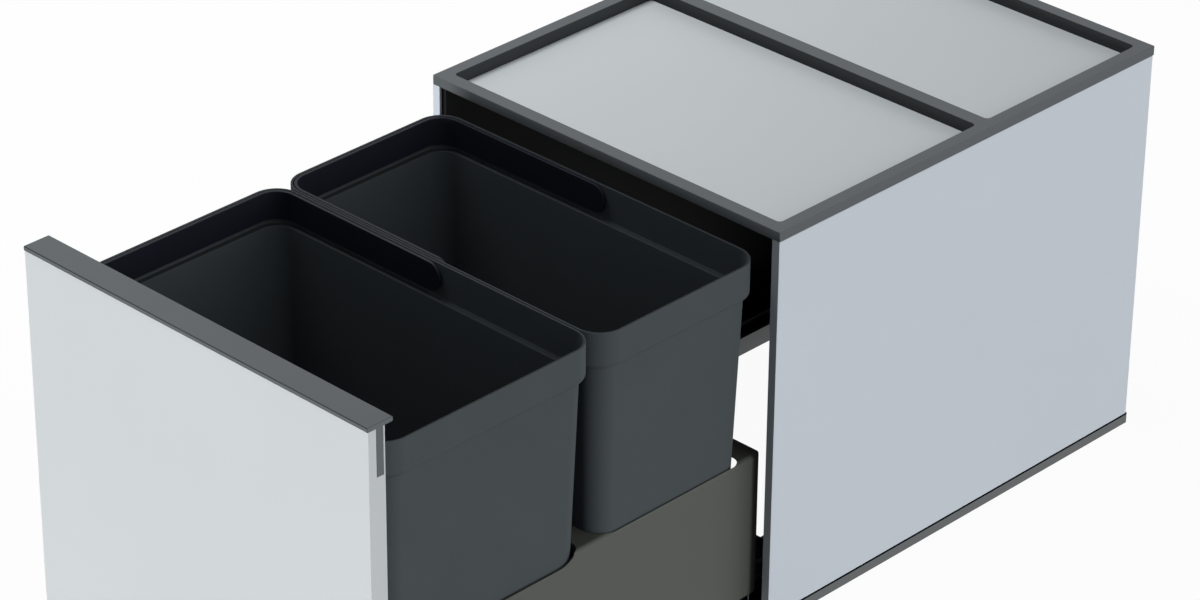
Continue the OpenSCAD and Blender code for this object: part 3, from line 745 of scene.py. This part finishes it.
def studio_sky():
    """Even light all round, which the camera sees as white."""
    world = bpy.data.worlds.new("studio_sky")
    bpy.context.scene.world = world
    world.use_nodes = True
    tree = world.node_tree
    tree.nodes.clear()
    paths = tree.nodes.new("ShaderNodeLightPath")
    light = tree.nodes.new("ShaderNodeBackground")
    light.inputs["Color"].default_value = SKY_COLOUR
    light.inputs["Strength"].default_value = SKY_STRENGTH
    white = tree.nodes.new("ShaderNodeBackground")
    white.inputs["Color"].default_value = WHITE
    mix = tree.nodes.new("ShaderNodeMixShader")
    out = tree.nodes.new("ShaderNodeOutputWorld")
    seen = paths.outputs[SEEN_RAYS[0]]
    for name in SEEN_RAYS[1:]:
        either = tree.nodes.new("ShaderNodeMath")
        either.operation = "MAXIMUM"
        tree.links.new(seen, either.inputs[0])
        tree.links.new(paths.outputs[name], either.inputs[1])
        seen = either.outputs[0]
    tree.links.new(seen, mix.inputs[0])
    tree.links.new(light.outputs[0], mix.inputs[1])
    tree.links.new(white.outputs[0], mix.inputs[2])
    tree.links.new(mix.outputs[0], out.inputs["Surface"])


def sun(name, towards, strength, spread):
    """A far lamp whose light travels along towards, with its spread in degrees."""
    lamp = bpy.data.lights.new(name, "SUN")
    lamp.energy = strength
    lamp.angle = math.radians(spread)
    holder = bpy.data.objects.new(name, lamp)
    holder.rotation_euler = Vector(towards).to_track_quat("-Z", "Y").to_euler()
    bpy.context.scene.collection.objects.link(holder)


def ceiling_lamp(name, place, width, power):
    """A wide soft lamp that shines straight down."""
    lamp = bpy.data.lights.new(name, "AREA")
    lamp.shape = "SQUARE"
    lamp.size = width
    lamp.energy = power
    holder = bpy.data.objects.new(name, lamp)
    holder.location = place
    bpy.context.scene.collection.objects.link(holder)


# The camera as it was solved from the straight edges of the photograph
PHOTO_WIDTH = 1200
PHOTO_HEIGHT = 600
FOCAL_PIXELS = 4547.4
OPTICAL_AXIS = (529.5, 353.2)
CAMERA_PLACE = Vector((2.6113, -2.9685, 2.3752))
CAMERA_AZIMUTH = 45.07
CAMERA_ELEVATION = 29.98
SENSOR_WIDTH = 36
FAR_CLIP = 50


def photo_camera():
    """The camera at the photograph's place, with its frame shifted off the optical axis."""
    camera = bpy.data.cameras.new("photo_camera")
    camera.sensor_width = SENSOR_WIDTH
    camera.lens = FOCAL_PIXELS / PHOTO_WIDTH * SENSOR_WIDTH
    camera.shift_x = (PHOTO_WIDTH / 2 - OPTICAL_AXIS[0]) / PHOTO_WIDTH
    camera.shift_y = (OPTICAL_AXIS[1] - PHOTO_HEIGHT / 2) / PHOTO_WIDTH
    camera.clip_end = FAR_CLIP
    holder = bpy.data.objects.new("photo_camera", camera)
    tilt = math.radians(90 - CAMERA_ELEVATION)
    holder.rotation_euler = (tilt, 0, math.radians(CAMERA_AZIMUTH))
    holder.location = CAMERA_PLACE
    bpy.context.scene.collection.objects.link(holder)
    bpy.context.scene.camera = holder


studio_floor()
studio_sky()
sun("front_key", towards=(0.07, 1, -0.005), strength=2.18, spread=4)
sun("right_fill", towards=(-1, -0.05, -0.003), strength=1.0, spread=12)
sun("right_wash", towards=(-1, -0.45, -0.2), strength=1.19, spread=70)
sun("right_glow", towards=(-0.75, 0, -0.65), strength=0.25, spread=25)
ceiling_lamp("top_fill", place=(-1.1, -0.4, 2.5), width=1.4, power=38.5)
photo_camera()
bpy.context.scene.view_settings.view_transform = "Standard"
